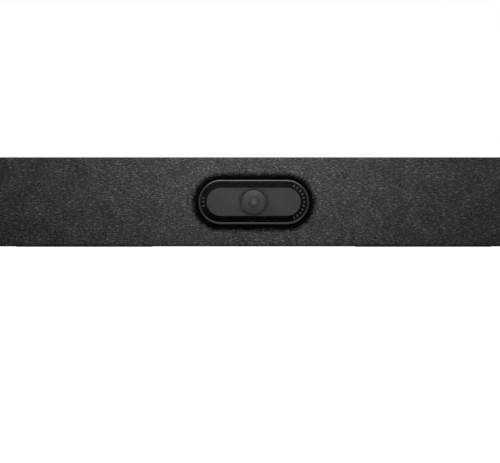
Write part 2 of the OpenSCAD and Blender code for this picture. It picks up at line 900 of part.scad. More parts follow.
module heat_sink() color("#8d9196") at_axis() translate([wing_x, 0, 0]) {
    block([-sink_w / 2, sink_front, sink_bottom], [sink_w / 2, sink_front + sink_base_t, sink_top]);
    fins = floor((sink_w - fin_t) / fin_pitch / 2);
    for (i = [-fins:fins])
        block([i * fin_pitch - fin_t / 2, sink_front + sink_base_t, sink_bottom],
            [i * fin_pitch + fin_t / 2, back_inner - sink_gap, sink_top]);
    for (sx = [-1, 1], z = [sink_bottom + sink_leg_inset, sink_top - sink_leg_inset])
        rod(sx * (sink_w / 2 - sink_leg_inset), z, sink_leg_r, board_back, sink_front);
}

// Socket shell whose mouth faces down through the bay's ceiling, with its contact tongue
module socket(x, w, h, length, tongue_w) translate([x, board_back, bay_top]) {
    difference() {
        block([-w / 2, 0, 0], [w / 2, h, length]);
        block([-w / 2 + socket_wall, socket_wall, -over],
            [w / 2 - socket_wall, h - socket_wall, length - port_floor_t]);
    }
    block([-tongue_w / 2, (h - tongue_t) / 2, tongue_side], [tongue_w / 2, (h + tongue_t) / 2, length]);
}

module hdmi_sockets() color(steel) at_axis() for (x = hdmi_x)
    socket(x, hdmi_w, hdmi_h, hdmi_l, hdmi_w - 4 * tongue_side);

module usb_a_socket() color(steel) at_axis()
    socket(usb_a_x, usb_a_w, usb_a_h, usb_a_l, usb_a_w - 2 * tongue_side);

module usb_c_socket() color(steel) at_axis() translate([usb_c_x, board_back + usb_c_h / 2, bay_top]) {
    difference() {
        linear_extrude(usb_c_l) round_rect(usb_c_w, usb_c_h, usb_c_corner_r);
        translate([0, 0, -over]) linear_extrude(usb_c_l - port_floor_t + over)
            round_rect(usb_c_w - socket_wall, usb_c_h - socket_wall, usb_c_corner_r - socket_wall / 2);
    }
    block([-usb_c_w / 2 + tongue_side, -tongue_t / 4, tongue_side],
        [usb_c_w / 2 - tongue_side, tongue_t / 4, usb_c_l]);
}

module ethernet_socket() color(steel) at_axis() translate([ethernet_x, board_back, bay_top]) difference() {
    block([-ethernet_w / 2, 0, 0], [ethernet_w / 2, ethernet_h, ethernet_l]);
    block([-ethernet_port_w / 2, (ethernet_h - ethernet_port_h) / 2, -over],
        [ethernet_port_w / 2, (ethernet_h + ethernet_port_h) / 2, ethernet_port_l]);
}

module power_inlet() color("#1c1c1c") at_axis() translate([inlet_x, board_back, bay_top]) {
    difference() {
        block([-inlet_w / 2, 0, 0], [inlet_w / 2, inlet_h, inlet_l]);
        translate([0, inlet_h / 2, -over]) cylinder(h = inlet_port_l + over, r = inlet_port_r);
    }
    translate([0, inlet_h / 2, tongue_side]) cylinder(h = inlet_l - tongue_side, r = inlet_pin_r);
}

module button_switches() color("#2a2a2a") at_axis() for (x = button_places) {
    base = bay_top + bay_wall + button_collar_t + button_stem_l + button_travel + 2 * switch_gap;
    block([x - switch_w / 2, board_back, base],
        [x + switch_w / 2, button_y + switch_w / 2, base + switch_h]);
}

// Round cap through the ceiling, held by its collar, with a stem towards the switch
module push_button(x) at_axis() translate([x, button_y, 0]) {
    collar_z = bay_top + bay_wall + switch_gap;
    translate([0, 0, bay_top - button_proud])
        cylinder(h = collar_z - bay_top + button_proud + button_collar_t, r = button_r);
    translate([0, 0, collar_z]) cylinder(h = button_collar_t, r = button_collar_r);
    translate([0, 0, collar_z]) cylinder(h = button_collar_t + button_stem_l, r = button_stem_r);
}

module power_button() color("#3a3b3d") push_button(button_places[0]);

module reset_button() color("#3a3b3d") push_button(button_places[1]);

module wifi_antennas() color("#c99a3e") at_axis() for (side = [-1, 1]) {
    face = side * (speaker_x + speaker_box_w / 2);
    far = face + side * antenna_t;
    mid_y = (box_front + box_back) / 2;
    block([min(face, far), mid_y - antenna_w / 2, -antenna_h / 2],
        [max(face, far), mid_y + antenna_w / 2, antenna_h / 2]);
}

module microphone_boards() color(board_green) at_axis() for (side = [-1, 1])
    plate(grille_back + mic_gasket_t, grille_back + mic_gasket_t + mic_board_t)
        translate([side * mic_x, 0]) difference() {
            square([mic_board_w, mic_board_h], center = true);
            translate([-side * mic_x, 0]) mic_spots() circle(mic_hole_r);
        }

module microphones() color("#c9b27a") at_axis() {
    back = grille_back + mic_gasket_t + mic_board_t;
    plate(back, back + mic_t) mic_spots() square([mic_w, mic_h], center = true);
}

module microphone_gaskets() color("#2e2e30") at_axis()
    plate(grille_back, grille_back + mic_gasket_t) mic_spots() difference() {
        circle(mic_gasket_r);
        circle(mic_hole_r);
    }

// Places of a speaker's screws round its middle
module speaker_spots() for (i = [0:window_count - 1])
    rotate((i + 0.5) * 360 / window_count) translate([speaker_screw_r, 0]) children();

module speaker_box(side) color("#1f2022") at_axis() difference() {
    plate(box_front, box_back) translate([side * speaker_x, 0])
        round_rect(speaker_box_w, 2 * box_half_h, box_corner_r);
    plate(box_front + box_wall, box_back - box_wall) translate([side * speaker_x, 0])
        round_rect(speaker_box_w - 2 * box_wall, 2 * (box_half_h - box_wall), box_corner_r - box_wall);
    plate(box_front - over, box_front + box_wall + over) translate([side * speaker_x, 0]) {
        circle(basket_mouth_r + fit_gap);
        speaker_spots() circle(small_screw_r + fit_gap);
    }
}

module speaker_box_left() speaker_box(-1);
module speaker_box_right() speaker_box(1);

// Stamped basket: flange, cone-shaped wall with windows, spider ledge and top plate
module speaker_basket(side) color("#4a4c50") at_axis() difference() {
    union() {
        plate(speaker_front, box_front) translate([side * speaker_x, 0]) difference() {
            speaker_spots() circle(ear_r);
            circle(basket_mouth_r);
        }
        turned(side * speaker_x, 0) translate([0, speaker_front]) {
            neck_outer_r = basket_neck_r + basket_wall;
            band(basket_mouth_r - basket_wall, speaker_r, 0, basket_flange_t);
            polygon([
                [basket_mouth_r - basket_wall, 0], [basket_mouth_r, 0],
                [basket_mouth_r, basket_flange_t], [neck_outer_r, basket_neck_y],
                [neck_outer_r, basket_back_y], [basket_neck_r, basket_back_y],
                [basket_neck_r, basket_neck_y], [basket_mouth_r - basket_wall, basket_flange_t]
            ]);
            band(magnet_r - basket_wall, neck_outer_r, spider_y + spider_t, spider_y + spider_t + ledge_t);
            band(gap_outer_r, neck_outer_r, basket_back_y, basket_back_y + basket_back_t);
        }
    }
    for (i = [0:window_count - 1]) translate([side * speaker_x, 0, 0])
        rotate([0, i * 360 / window_count, 0])
            block([-window_cut_w / 2, box_front + over, basket_neck_r - basket_wall - over],
                [window_cut_w / 2, speaker_front + basket_neck_y - over, basket_mouth_r + over]);
    plate(speaker_front - over, box_front + over) translate([side * speaker_x, 0])
        speaker_spots() circle(small_screw_r + fit_gap);
}

module speaker_basket_left() speaker_basket(-1);
module speaker_basket_right() speaker_basket(1);

// Ring magnet with its yoke and centre pole
module speaker_magnet(side) color("#2c2d30") at_axis() turned(side * speaker_x, 0)
    translate([0, speaker_front + basket_back_y + basket_back_t]) {
        band(gap_outer_r + fit_gap, magnet_r, 0, magnet_t);
        band(yoke_vent_r, magnet_r, magnet_t, magnet_t + yoke_t);
        band(yoke_vent_r, gap_inner_r, -basket_back_t, magnet_t + yoke_t);
    }

module speaker_magnet_left() speaker_magnet(-1);
module speaker_magnet_right() speaker_magnet(1);

// Corrugated disc that centres the voice coil
module speaker_spider(side) color("#b08a4a") at_axis() turned(side * speaker_x, 0)
    translate([0, speaker_front + spider_y]) {
        band(former_r + slide_gap, basket_neck_r - fit_gap, 0, spider_t);
        rings = [for (r = [former_r + 4 * spider_ridge:4 * spider_ridge:magnet_r - 4 * spider_ridge]) r];
        for (r = rings) band(r, r + spider_ridge, -spider_ridge, spider_t);
    }

module speaker_spider_left() speaker_spider(-1);
module speaker_spider_right() speaker_spider(1);

// Cone, voice coil former and dust cap
module speaker_cone(side) color("#33343a") at_axis() turned(side * speaker_x, 0)
    translate([0, speaker_front]) {
        polygon([
            [cone_r, 0], [cone_r, cone_t], [former_r, cone_depth + cone_t],
            [former_r - former_t, cone_depth + cone_t], [former_r - former_t, cone_depth - cone_t],
            [cone_r - 2 * cone_t, 0]
        ]);
        band(former_r - former_t, former_r, cone_depth - cone_t, cone_depth + former_l);
        cap_sphere_r = (former_r * former_r + cap_sag * cap_sag) / (2 * cap_sag);
        intersection() {
            translate([0, cone_depth - cap_sag + cap_sphere_r]) difference() {
                circle(cap_sphere_r);
                circle(cap_sphere_r - cone_t);
            }
            band(0, former_r, cone_depth - cap_sag - over, cone_depth + cone_t);
        }
    }

module speaker_cone_left() speaker_cone(-1);
module speaker_cone_right() speaker_cone(1);

// Half roll between the cone and the flange
module speaker_surround(side) color("#1b1b1d") at_axis() turned(side * speaker_x, 0) {
    translate([surround_r0 + surround_roll_r, speaker_front]) difference() {
        circle(surround_roll_r);
        circle(surround_roll_r - roll_t);
        translate([-surround_roll_r, 0]) square(2 * surround_roll_r);
    }
    band(surround_seat_r - roll_t, speaker_r - fit_gap, surround_front, speaker_front);
}

module speaker_surround_left() speaker_surround(-1);
module speaker_surround_right() speaker_surround(1);

module speaker_gaskets() color("#2e2e30") at_axis() for (side = [-1, 1])
    turned(side * speaker_x, 0)
        band(surround_seat_r + roll_t, speaker_r - fit_gap, grille_back, surround_front);

module speaker_screws() color(steel) at_axis() for (side = [-1, 1], i = [0:window_count - 1]) {
    angle = (i + 0.5) * 360 / window_count;
    mirror([0, 1, 0])
        screw(side * speaker_x + speaker_screw_r * cos(angle), speaker_screw_r * sin(angle), small_screw_r,
            basket_flange_t + small_screw_l, small_head_r, small_head_t, -speaker_front);
}

// Slot through the housing's top wall
module vent(x) translate([x, vent_y0 + vent_l / 2, housing_inner_r - over])
    linear_extrude(housing_wall + 2 * over) rotate(90) pill(vent_l - vent_w, vent_w / 2);

// Section of the bay behind the cover, from the ceiling down past the bottom
module bay_space(half, front) block([-half, front, -end_r - over], [half, back_y + over, bay_top]);

module rear_housing() color(dark_plastic) at_axis() difference() {
    union() {
        pill_sweep(run_w) difference() {
            back_section(housing_r, back_edge_r, housing_front, back_y);
            back_section(housing_inner_r, back_edge_r - housing_wall, housing_front - over, back_inner);
        }
        // Tongue that reaches into the grille
        pill_sweep(run_w) {
            root_end = housing_front + tongue_root;
            band(tongue_r - tongue_ring_t, tongue_r, housing_front - tongue_ring_l, root_end);
            band(tongue_r - tongue_ring_t, housing_inner_r + housing_wall / 2, housing_front, root_end);
        }
        for (p = well_places) rod(p.x, p.y, well_r, well_front, back_inner + housing_wall / 2);
        for (p = mount_places)
            rod(p.x, p.y, insert_boss_r, back_y - insert_boss_l, back_inner + housing_wall / 2);
        // Rests behind the speaker boxes
        for (side = [-1, 1], offset = [-1, 1])
            rod(side * speaker_x + offset * speaker_box_w * rest_x_share, 0, rest_r, box_back,
                back_inner + housing_wall / 2);
        translate([0, tripod_y, -housing_r + tripod_floor_t / 2])
            cylinder(h = tripod_l + tripod_floor_t, r = tripod_boss_r);
    }
    // Opening that the socket bay fills
    block([-bay_outer - fit_gap, bay_front - bay_wall - fit_gap, -end_r - over],
        [bay_outer + fit_gap, back_y + over, bay_top + bay_wall + fit_gap]);
    for (p = well_places) {
        rod(p.x, p.y, well_bore_r, well_front + well_floor_t, back_y + over);
        rod(p.x, p.y, screw_hole_r, well_front - over, back_y);
    }
    for (p = mount_places) rod(p.x, p.y, insert_r, back_y - insert_l, back_y + over);
    translate([0, tripod_y, -housing_r - over]) cylinder(h = tripod_l + over, r = tripod_r);
    for (i = [-vents:vents]) vent(i * vent_pitch);
    mirror([0, 0, 1]) for (side = [-1, 1], i = [0:bottom_vents - 1])
        vent(side * (vents - i) * vent_pitch);
    for (side = [-1, 1]) translate([side * foot_x, foot_y, -housing_r - over])
        linear_extrude(foot_seat + over) round_rect(foot_l + fit_gap, foot_w + fit_gap, foot_corner_r);
    plate(back_inner - over, back_y + over) translate([lock_slot_x, lock_slot_z])
        round_rect(lock_slot_w, lock_slot_h, lock_slot_h / 3);
}

// Housing's outline from top to bottom, as a bar along X
module housing_bar(length, inset) rotate([0, 90, 0]) linear_extrude(length, center = true) {
    back_section(housing_r - inset, back_edge_r - inset, housing_front, back_y - inset);
    mirror([1, 0]) back_section(housing_r - inset, back_edge_r - inset, housing_front, back_y - inset);
}

// Tray that the cables plug into, open to the back and the bottom
module socket_bay() color(dark_plastic) at_axis() difference() {
    intersection() {
        block([-bay_outer, bay_front - bay_wall, -end_r], [bay_outer, back_y, bay_top + bay_wall]);
        housing_bar(2 * bay_outer, 0);
    }
    bay_space(bay_half, bay_front);
    // Rebate that the cover's edges lie in
    difference() {
        bay_space(bay_half + bay_ledge, cover_bottom_y);
        housing_bar(2 * bay_outer, cover_t);
    }
    // Cuts for the sockets and the buttons in the ceiling
    socket_cut = [
        [hdmi_x[0], hdmi_w, hdmi_h], [hdmi_x[1], hdmi_w, hdmi_h], [usb_a_x, usb_a_w, usb_a_h],
        [usb_c_x, usb_c_w, usb_c_h], [ethernet_x, ethernet_w, ethernet_h], [inlet_x, inlet_w, inlet_h]
    ];
    for (s = socket_cut)
        block([s[0] - s[1] / 2 - socket_gap, board_front - over, bay_top - over],
            [s[0] + s[1] / 2 + socket_gap, board_back + s[2] + socket_gap, bay_top + bay_wall + over]);
    for (x = button_places) translate([x, button_y, bay_top - over])
        cylinder(h = bay_wall + 2 * over, r = button_r + slide_gap);
}

module housing_screws() color(steel) at_axis() for (p = well_places)
    screw(p.x, p.y, screw_r, screw_l, screw_head_r, screw_head_t, well_front + well_floor_t);

// Curved cover that closes the back of the bay; cables leave in front of its lower edge
module cable_cover() color(dark_plastic) at_axis() {
    inner_r = housing_r - cover_t;
    inner_back = back_y - cover_t + fit_gap;
    difference() {
        rotate([0, 90, 0]) linear_extrude(2 * cover_half, center = true) difference() {
            intersection() {
                union() {
                    back_section(housing_r, back_edge_r, housing_front, back_y);
                    mirror([1, 0]) back_section(housing_r, back_edge_r, housing_front, back_y);
                }
                translate([-bay_top + cover_gap, cover_bottom_y + cover_gap])
                    square([end_r + bay_top, body_d]);
            }
            union() {
                back_section(inner_r + fit_gap, back_edge_r - cover_t, housing_front, inner_back);
                mirror([1, 0]) back_section(inner_r, back_edge_r - cover_t, housing_front, inner_back);
            }
        }
        // Finger notch in the lower edge
        translate([0, cover_bottom_y, -end_r - over])
            cylinder(h = housing_wall + 2 * over, r = cover_notch_r);
    }
    for (side = [-1, 1]) translate([side * bay_half * prong_share, 0, 0])
        block([-prong_w / 2, inner_back - prong_l, bay_top - cover_gap - prong_t],
            [prong_w / 2, inner_back + fit_gap, bay_top - cover_gap]);
}

module mount_inserts() color("#b8934a") at_axis() {
    for (p = mount_places) difference() {
        rod(p.x, p.y, insert_r, back_y - insert_l, back_y);
        rod(p.x, p.y, mount_bore_d / 2, back_y - insert_l - over, back_y + over);
    }
    translate([0, tripod_y, -housing_r]) difference() {
        cylinder(h = tripod_l, r = tripod_r);
        translate([0, 0, -over]) cylinder(h = tripod_l + 2 * over, r = tripod_bore_d / 2);
    }
}

module rubber_feet() color("#1a1a1a") for (side = [-1, 1]) translate([side * foot_x, foot_y, 0])
    linear_extrude(foot_stand + housing_inset + foot_seat) round_rect(foot_l, foot_w, foot_corner_r);

fabric_cover();
front_grille();
bezel_ring();
camera_window();
window_mask();
lens_surround();
shutter_frame();
shutter_blade();
shutter_pinion();
shutter_motor();
lens_dome();
lens_retainer();
lens_barrel();
lens_elements();
lens_holder();
ir_filter();
image_sensor();
sensor_board();
camera_bracket();
camera_flex_cable();
chassis_plate();
chassis_screws();
main_board();
board_screws();
socket_bay();
board_components();
processor_shield();
thermal_pad();
heat_sink();
hdmi_sockets();
usb_a_socket();
usb_c_socket();
ethernet_socket();
power_inlet();
button_switches();
power_button();
reset_button();
wifi_antennas();
microphone_boards();
microphones();
microphone_gaskets();
speaker_box_left();
speaker_box_right();
speaker_basket_left();
speaker_basket_right();
speaker_magnet_left();
speaker_magnet_right();
speaker_spider_left();
speaker_spider_right();
speaker_cone_left();
speaker_cone_right();
speaker_surround_left();
speaker_surround_right();
speaker_gaskets();
speaker_screws();
rear_housing();
housing_screws();
cable_cover();
mount_inserts();
rubber_feet();
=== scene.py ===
"""Blender scene of the conference camera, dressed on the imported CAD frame.

Lengths are in metres. The front of the bar faces -Y and it stands on z = 0.
"""
import json
import math

import bmesh
import bpy
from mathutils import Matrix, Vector

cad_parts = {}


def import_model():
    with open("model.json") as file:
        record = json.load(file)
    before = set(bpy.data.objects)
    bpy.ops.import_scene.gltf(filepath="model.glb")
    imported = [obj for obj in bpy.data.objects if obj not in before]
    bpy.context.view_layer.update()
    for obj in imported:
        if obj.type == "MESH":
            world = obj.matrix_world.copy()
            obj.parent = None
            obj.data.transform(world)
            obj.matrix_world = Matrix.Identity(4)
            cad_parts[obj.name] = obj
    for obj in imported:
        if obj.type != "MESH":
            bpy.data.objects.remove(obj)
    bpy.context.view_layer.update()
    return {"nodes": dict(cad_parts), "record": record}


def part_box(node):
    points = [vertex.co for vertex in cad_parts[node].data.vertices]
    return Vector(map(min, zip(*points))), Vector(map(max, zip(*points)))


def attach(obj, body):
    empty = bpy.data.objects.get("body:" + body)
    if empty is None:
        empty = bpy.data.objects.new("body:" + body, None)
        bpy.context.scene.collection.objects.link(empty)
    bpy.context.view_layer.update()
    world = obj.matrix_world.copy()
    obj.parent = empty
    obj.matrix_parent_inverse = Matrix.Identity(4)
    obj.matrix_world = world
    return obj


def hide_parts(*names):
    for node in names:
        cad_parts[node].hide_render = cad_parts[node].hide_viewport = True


MM = 0.001

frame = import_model()


# Sizes, from the frame

def corners(node):
    """Low and high corner of a CAD node."""
    low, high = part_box(node)
    return Vector(low), Vector(high)


cover_low, cover_high = corners("fabric_cover")
ring_low, ring_high = corners("bezel_ring")
glass_low, glass_high = corners("camera_window")

AXIS_Z = (cover_low.z + cover_high.z) / 2
END_R = (cover_high.z - cover_low.z) / 2          # the bar's round ends
RUN = (cover_high.x - cover_low.x) - 2 * END_R    # straight length between them
FRONT_Y = cover_low.y
WRAP_END = cover_high.y                           # where the cover's wrap ends
RING_FLANGE = 3.7 * MM                            # the ring's hidden flange, all round
RING_R = (ring_high.z - ring_low.z) / 2 - RING_FLANGE
RING_RUN = (ring_high.x - ring_low.x) - 2 * (RING_R + RING_FLANGE)

# Sizes of the knitted cover

CLOTH = 1.1 * MM
EDGE_R = 3 * MM           # round edge of the front
ROLL_R = 6.2 * MM         # roll inward round the ring
ROLL_TAKE_UP = 0.57       # cloth that a quarter turn takes beyond its radius, in radii
LIP_GAP = 0.25 * MM       # between the ring and the rolled-in cloth
LIP_SHORT = 1.3 * MM      # the lip ends this far before the ring's back, in front of its flange
HEM = 1.2 * MM            # turned in at the end of the wrap
HEM_SINK = 0.15 * MM      # how far the hem's bend lies before its end
HALO = 8 * MM             # how far from the ring the painted shade of the roll starts
COVER_AROUND = 560        # points round each loop of the cover
WRAP_STEPS = 8
FRONT_STEPS = 15
ROLL_STEPS = 14

# Sizes of the window's panel

PANEL_EDGE = 0.6 * MM     # round front edge
PANEL_BEVEL = 0.1 * MM    # bevel at the back
PANEL_GAP = 0.08 * MM     # between the panel and the print behind it
PANEL_AROUND = 256
PANEL_EDGE_STEPS = 6

# Places of what is painted on the front: from the middle line of the pill, or from the lens's axis

HIGHLIGHT_LINE_R = 18.8 * MM    # painted highlight along the upper side of the ring
TICKS_R = 15.4 * MM       # middle of the row of ticks in the black band
TICK_PITCH = math.radians(13.0)
TICKS_LEFT = math.radians(17.0)
TICKS_RIGHT = math.radians(70.0)
MASK_HALF = 18.0 * MM     # half of the height over which the band's painted shade changes, paler upward
PANEL_HALF = 12.0 * MM    # the same for the window's painted shade
DOME_HALF = 10.0 * MM     # the same for the painted sheen of the front element
DISC_HALF = 5.0 * MM      # the same for the middle disc of that element
GLINT_R = 1.15 * MM       # painted glint: bright ring round the stop
STOP_RING_R = 4.9 * MM    # dark ring round the middle disc
STEP_RING_R = 8.2 * MM    # faint ring further out
REFLECTION_X = 8.9 * MM      # painted amber reflection on the front element

# Where shades begin on the lens and where they are full, as distances from its axis

GLOW_FADE = (3.0 * MM, 1.6 * MM)
DISC_FADE = (5.4 * MM, 4.6 * MM)
PAINTED_LIP_FADE = (11.9 * MM, 11.0 * MM)
RIM_SHADE_FADE = (14.0 * MM, 12.8 * MM)
BARREL_STEP_IN = (5.4 * MM, 6.6 * MM)
BARREL_STEP_OUT = (10.2 * MM, 11.2 * MM)
REFLECTION_FADE = (1.6 * MM, 0.2 * MM)    # from the middle of the painted reflection


# Node helpers

class Tree:
    """Short way to write the nodes and links of a material or the world."""

    def __init__(self, owner):
        owner.use_nodes = True
        self.nodes = owner.node_tree.nodes
        self.links = owner.node_tree.links

    def put(self, socket, value):
        """Links a socket to another, or sets its value."""
        if isinstance(value, bpy.types.NodeSocket):
            self.links.new(value, socket)
        else:
            socket.default_value = value

    def node(self, kind, sockets=None, **settings):
        made = self.nodes.new(kind)
        for key, value in settings.items():
            setattr(made, key, value)
        for key, value in (sockets or {}).items():
            self.put(made.inputs[key], value)
        return made

    def math(self, operation, *values):
        made = self.node("ShaderNodeMath", operation=operation)
        for socket, value in zip(made.inputs, values):
            self.put(socket, value)
        return made.outputs[0]

    def plus(self, first, second):
        return self.math("ADD", first, second)

    def minus(self, first, second):
        return self.math("SUBTRACT", first, second)

    def times(self, first, second):
        return self.math("MULTIPLY", first, second)

    def larger(self, first, second):
        return self.math("MAXIMUM", first, second)

    def hypot(self, first, second):
        """Length of the diagonal over two lengths."""
        return self.math("SQRT", self.plus(self.math("POWER", first, 2.0), self.math("POWER", second, 2.0)))

    def remap(self, value, low, high, to_low=0.0, to_high=1.0, ease="SMOOTHSTEP"):
        """Takes low..high to to_low..to_high, and keeps the ends beyond them."""
        made = self.node("ShaderNodeMapRange", interpolation_type=ease)
        for socket, item in zip(made.inputs, (value, low, high, to_low, to_high)):
            self.put(socket, item)
        return made.outputs["Result"]

    def spread(self, noise, to_low=0.0, to_high=1.0):
        """Spreads the middle of a noise's values over a range."""
        return self.remap(noise, 0.3, 0.7, to_low, to_high)

    def line(self, value, middle, reach, core=0.0):
        """1 within core of the middle value, falling to 0 at reach."""
        off = self.math("ABSOLUTE", self.minus(value, middle))
        return self.remap(off, reach, core)

    def mix(self, share, first, second, blend="MIX"):
        made = self.node("ShaderNodeMix", data_type="RGBA", blend_type=blend)
        self.put(made.inputs["Factor"], share)
        self.put(made.inputs[6], first)
        self.put(made.inputs[7], second)
        return made.outputs[2]

    def mapped(self, vector, scale=(1, 1, 1), turn=(0, 0, 0)):
        """Coordinates scaled and turned."""
        return self.node("ShaderNodeMapping", {
            "Vector": vector, "Scale": scale, "Rotation": turn}).outputs["Vector"]

    def place(self, scale=(1, 1, 1), turn=(0, 0, 0)):
        """Coordinates of the object, scaled and turned."""
        return self.mapped(self.node("ShaderNodeTexCoord").outputs["Object"], scale, turn)

    def axes(self, vector=None):
        """X, Y and Z of a vector, or of the object's coordinates."""
        if vector is None:
            vector = self.place()
        return self.node("ShaderNodeSeparateXYZ", {"Vector": vector}).outputs

    def noise(self, vector, scale, detail=2.0, rough=0.5):
        return self.node("ShaderNodeTexNoise", {
            "Vector": vector, "Scale": scale, "Detail": detail, "Roughness": rough}).outputs["Fac"]

    def wave(self, vector, scale, direction, distortion=0.0):
        return self.node("ShaderNodeTexWave", {
            "Vector": vector, "Scale": scale, "Distortion": distortion},
            bands_direction=direction).outputs["Fac"]

    def ripples(self, value, pitch):
        """Sine wave over a length."""
        return self.math("SINE", self.times(value, 2 * math.pi / pitch))

    def bump(self, height, strength, distance):
        return self.node("ShaderNodeBump", {
            "Height": height, "Strength": strength, "Distance": distance}).outputs["Normal"]

    def sees_white(self, behind):
        """1 for the camera's rays and those through glass, and for gloss where behind is 1."""
        rays = self.node("ShaderNodeLightPath").outputs
        seen = self.larger(rays["Is Camera Ray"], rays["Is Transmission Ray"])
        return self.larger(seen, self.times(rays["Is Glossy Ray"], behind))


class Finish(Tree):
    """Nodes of a new material with a Principled shader."""

    def __init__(self, name, see_through=False):
        self.material = bpy.data.materials.new(name)
        super().__init__(self.material)
        self.shader = self.nodes["Principled BSDF"]
        if see_through:
            self.material.surface_render_method = "BLENDED"

    def set(self, **values):
        """Sets sockets of the shader by name, with _ for a space, and gives the material."""
        for key, value in values.items():
            self.put(self.shader.inputs[key.replace("_", " ")], value)
        return self.material


def grey(value, warmth=0.0):
    """Neutral colour, a little warmer where warmth is above 0."""
    return (value * (1 + warmth), value, value * (1 - warmth), 1.0)


def shaded(colour, factor, lift=0.0):
    """Colour made darker or paler."""
    return tuple(min(1.0, c * factor + lift) for c in colour[:3]) + (1.0,)


# Materials used by several pieces

def plastic(name, colour, rough, grain, wear=0.0):
    """Moulded plastic with a spark-eroded texture, rubbed a little brighter on its edges."""
    tree = Finish(name)
    place = tree.place()
    fine = tree.noise(place, 3200, detail=2, rough=0.6)
    broad = tree.noise(place, 45, detail=3)
    mixed = tree.mix(tree.spread(broad), shaded(colour, 0.88), shaded(colour, 1.12))
    if wear:
        edges = tree.node("ShaderNodeNewGeometry").outputs["Pointiness"]
        upper_highlighted = tree.remap(edges, 0.53, 0.62, 0.0, wear)
        mixed = tree.mix(upper_highlighted, mixed, shaded(colour, 2.4, lift=0.03))
    return tree.set(
        Base_Color=mixed, Roughness=tree.remap(fine, 0.2, 0.8, rough - 0.06, rough + 0.08),
        Normal=tree.bump(fine, grain, 0.12 * MM))


def metal(name, colour, rough, stretch=(1, 1, 1)):
    """Metal with a fine grain, drawn into lines where it is stretched."""
    tree = Finish(name)
    lines = tree.noise(tree.place(stretch), 900, detail=3, rough=0.6)
    spots = tree.noise(tree.place(), 160, detail=3)
    return tree.set(
        Base_Color=tree.mix(tree.spread(spots), shaded(colour, 0.86), colour), Metallic=1.0,
        Roughness=tree.remap(lines, 0.25, 0.75, rough - 0.08, rough + 0.1),
        Normal=tree.bump(lines, 0.15, 0.05 * MM))


def rubber(name, colour, rough, pores, scale=1800):
    """Soft rubber or foam with open pores."""
    tree = Finish(name)
    cells = tree.node("ShaderNodeTexVoronoi", {"Vector": tree.place(), "Scale": scale})
    cloud = tree.noise(tree.place(), 220, detail=3, rough=0.6)
    dust = tree.remap(cloud, 0.35, 0.75)
    return tree.set(
        Base_Color=tree.mix(dust, shaded(colour, 0.8), shaded(colour, 1.3)), Roughness=rough,
        Normal=tree.bump(cells.outputs["Distance"], pores, 0.2 * MM))


def clear_glass(name, tint, alpha, rough, coat_reflection):
    """Coated glass: mostly see-through, with a painted reflection in the colour of its coating at glancing
    angles.
    """
    tree = Finish(name, see_through=True)
    reflection_weight = tree.node("ShaderNodeLayerWeight", {"Blend": 0.25})
    smear = tree.noise(tree.place(), 600)
    return tree.set(
        # Painted reflection: the coating's colour shows at glancing angles
        Base_Color=tree.mix(reflection_weight.outputs["Facing"], tint, coat_reflection),
        Roughness=tree.spread(smear, rough, rough + 0.03), IOR=1.5, Alpha=alpha)


def film(name, colour, scale):
    """Glossy film with conductor lines."""
    tree = Finish(name)
    stripe = tree.remap(tree.wave(tree.place(), scale, "X"), 0.4, 0.6)
    return tree.set(
        Base_Color=tree.mix(stripe, shaded(colour, 0.6), colour), Roughness=0.32, Coat_Weight=0.3)


# Materials of one piece or kind

def circuit_board():
    """Green solder mask with traces, pads and vias."""
    tree = Finish("board_mask")
    mask_green, trace_green = (0.006, 0.07, 0.035, 1), (0.03, 0.22, 0.1, 1)
    pad_gold = (0.62, 0.5, 0.26, 1)
    across = tree.place((1, 0.001, 1))    # the same all through the board
    runs = tree.node("ShaderNodeTexBrick", {
        "Vector": tree.place(turn=(math.pi / 2, 0, 0)), "Scale": 240.0, "Mortar Size": 0.07,
        "Color1": grey(0.0), "Color2": grey(0.0), "Mortar": grey(1.0),
        "Brick Width": 2.6, "Row Height": 0.35})
    routed = tree.remap(tree.noise(across, 70), 0.48, 0.52)
    traces = tree.times(runs.outputs["Color"], routed)
    base = tree.mix(tree.times(traces, 0.55), mask_green, trace_green)
    vias = tree.node("ShaderNodeTexVoronoi", {"Vector": across, "Scale": 260.0})
    dots = tree.remap(vias.outputs["Distance"], 0.16, 0.1)
    sparse = tree.remap(tree.noise(across, 45), 0.5, 0.56)
    pads = tree.times(dots, sparse)
    # Fine lines of the glass cloth show on the cut edge
    plies = tree.math("ABSOLUTE", tree.math("SINE", tree.times(tree.axes()["Y"], 9000.0)))
    return tree.set(
        Base_Color=tree.mix(pads, base, pad_gold), Metallic=tree.times(pads, 0.8),
        Roughness=tree.plus(0.28, tree.remap(plies, 0.0, 1.0, 0.0, 0.02)),
        Normal=tree.bump(traces, 0.3, 0.05 * MM))


def sensor_chip():
    """Dark sensor with a fine, faintly coloured pixel field."""
    tree = Finish("sensor_field")
    tint = tree.noise(tree.place(), 120, detail=1)
    return tree.set(
        Base_Color=tree.mix(tint, (0.02, 0.03, 0.06, 1), (0.06, 0.03, 0.05, 1)),
        Roughness=0.18, Coat_Weight=0.5)


def cone_paper():
    """Pressed paper pulp with fine fibres."""
    tree = Finish("cone_pulp")
    fibre = tree.noise(tree.place((1, 0.4, 1)), 900, detail=4, rough=0.7)
    return tree.set(
        Base_Color=tree.mix(tree.spread(fibre), grey(0.028), grey(0.055)), Roughness=0.85,
        Normal=tree.bump(fibre, 0.4, 0.2 * MM))


def spider_cloth():
    """Resin-dipped cloth of the speaker's spider."""
    tree = Finish("spider_cloth")
    amber = (0.5, 0.33, 0.14, 1)
    weave = tree.times(tree.wave(tree.place(), 420.0, "X"), tree.wave(tree.place(), 420.0, "Z"))
    return tree.set(
        Base_Color=tree.mix(weave, shaded(amber, 0.6), amber), Roughness=0.7,
        Normal=tree.bump(weave, 0.5, 0.2 * MM))


